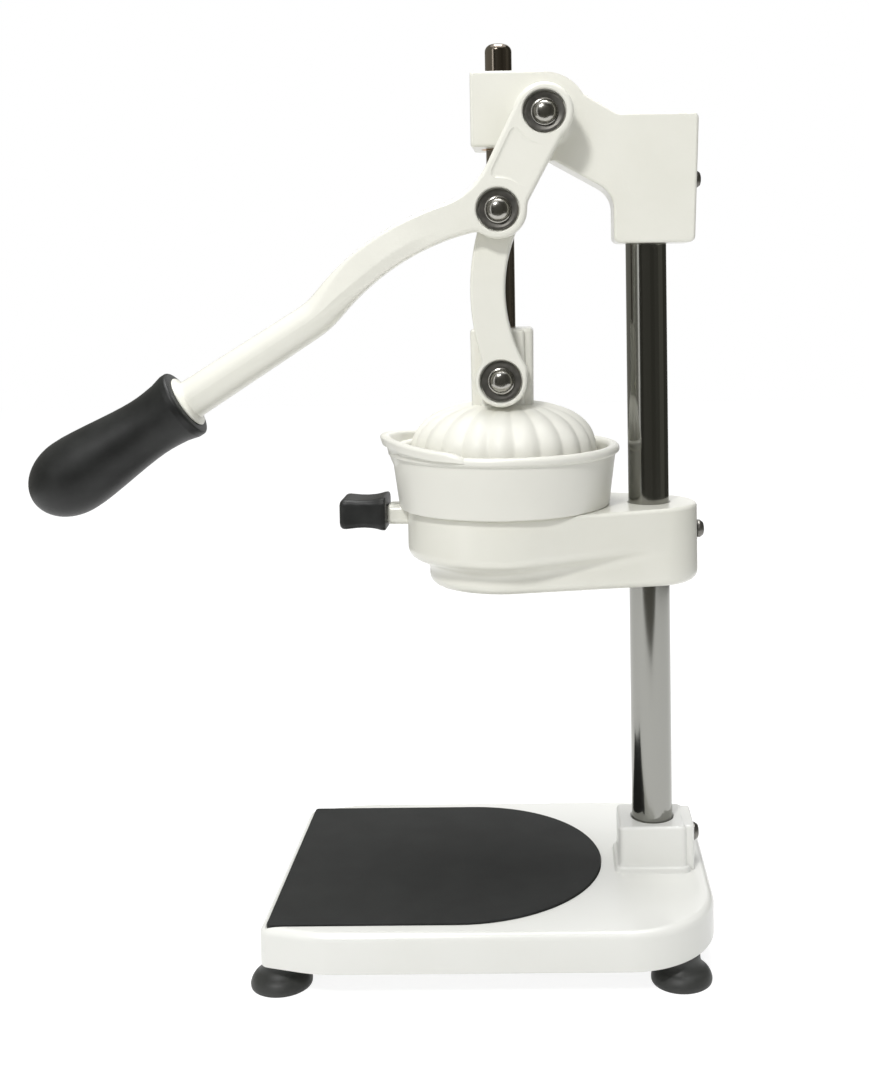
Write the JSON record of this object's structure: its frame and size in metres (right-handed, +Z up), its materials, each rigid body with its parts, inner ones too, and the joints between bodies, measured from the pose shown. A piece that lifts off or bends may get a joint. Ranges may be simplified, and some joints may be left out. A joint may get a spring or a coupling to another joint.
{
  "type": "lever citrus juice press",
  "caption": "Free-standing lever press: a cranked handle and link drive a fluted bell down a guided rod over a reamer cone in a lipped bowl, above a matted base for a glass.",
  "frame": {"origin": "on the floor, under the middle of the overall length and width", "axes": "+Z up; -Y towards the user, where the lever and link lie; +X from the handle's side towards the column"},
  "size_m": [0.3516, 0.168, 0.479],
  "materials": {
    "cast_enamel": "glossy cream-white enamel on cast aluminium, soft edges",
    "white_plastic": "moulded food-grade plastic, satin gloss",
    "black_rubber": "matt moulded rubber",
    "column_chrome": "bright chrome plating",
    "rod_chrome": "dark chrome plating, lightly oiled",
    "bright_steel": "turned stainless steel",
    "dark_steel": "blackened steel",
    "bush_bronze": "sintered bronze"
  },
  "bodies": {
    "root": {"base_casting": "cast_enamel", "bowl_arm": "cast_enamel", "head": "cast_enamel", "bowl": "white_plastic", "bowl_spout": "white_plastic", "strainer": "white_plastic", "reamer_cone": "white_plastic", "base_mat": "black_rubber", "foot_front_left": "black_rubber", "foot_front_right": "black_rubber", "foot_rear_left": "black_rubber", "foot_rear_right": "black_rubber", "tab_cap": "black_rubber", "column": "column_chrome", "foot_screws": "bright_steel", "column_plug": "bright_steel", "column_bolt": "bright_steel", "column_washer": "bright_steel", "head_pivot_bolt": "bright_steel", "head_pivot_nut": "bright_steel", "socket_screw": "dark_steel", "arm_screw": "dark_steel", "head_screw": "dark_steel", "head_pivot_washer": "dark_steel", "guide_bush_upper": "bush_bronze", "guide_bush_lower": "bush_bronze"},
    "lever": {"lever": "cast_enamel", "lever_grip": "black_rubber", "knee_bolt": "bright_steel", "knee_washer": "dark_steel"},
    "ram": {"push_rod": "rod_chrome", "ram_yoke": "cast_enamel", "rod_pin": "bright_steel", "press_bell": "white_plastic", "bell_screw": "bright_steel", "bell_washer": "bright_steel", "yoke_bolt": "bright_steel", "yoke_washer": "dark_steel", "yoke_nut": "bright_steel"},
    "link": {"link": "cast_enamel", "knee_nut": "bright_steel"}
  },
  "joints": [
    {"name": "lever_hinge", "type": "hinge", "parent": "root", "child": "lever", "pos_m": [0.0917, 0, 0.43809], "axis": [0, 1, 0], "range_deg": [0, 105]},
    {"name": "ram_slide", "type": "slide", "parent": "root", "child": "ram", "axis": [0, 0, 1], "range_m": [0, 0.08724]},
    {"name": "link_hinge", "type": "hinge", "parent": "ram", "child": "link", "pos_m": [0.0673, 0, 0.3002], "axis": [0, 1, 0], "range_deg": [-11, 0]}
  ],
  "couplings": [
    {"joint": "ram_slide", "follows": "lever_hinge", "m_per_rad": 0.047607},
    {"joint": "link_hinge", "follows": "lever_hinge", "ratio": -0.10476}
  ]
}
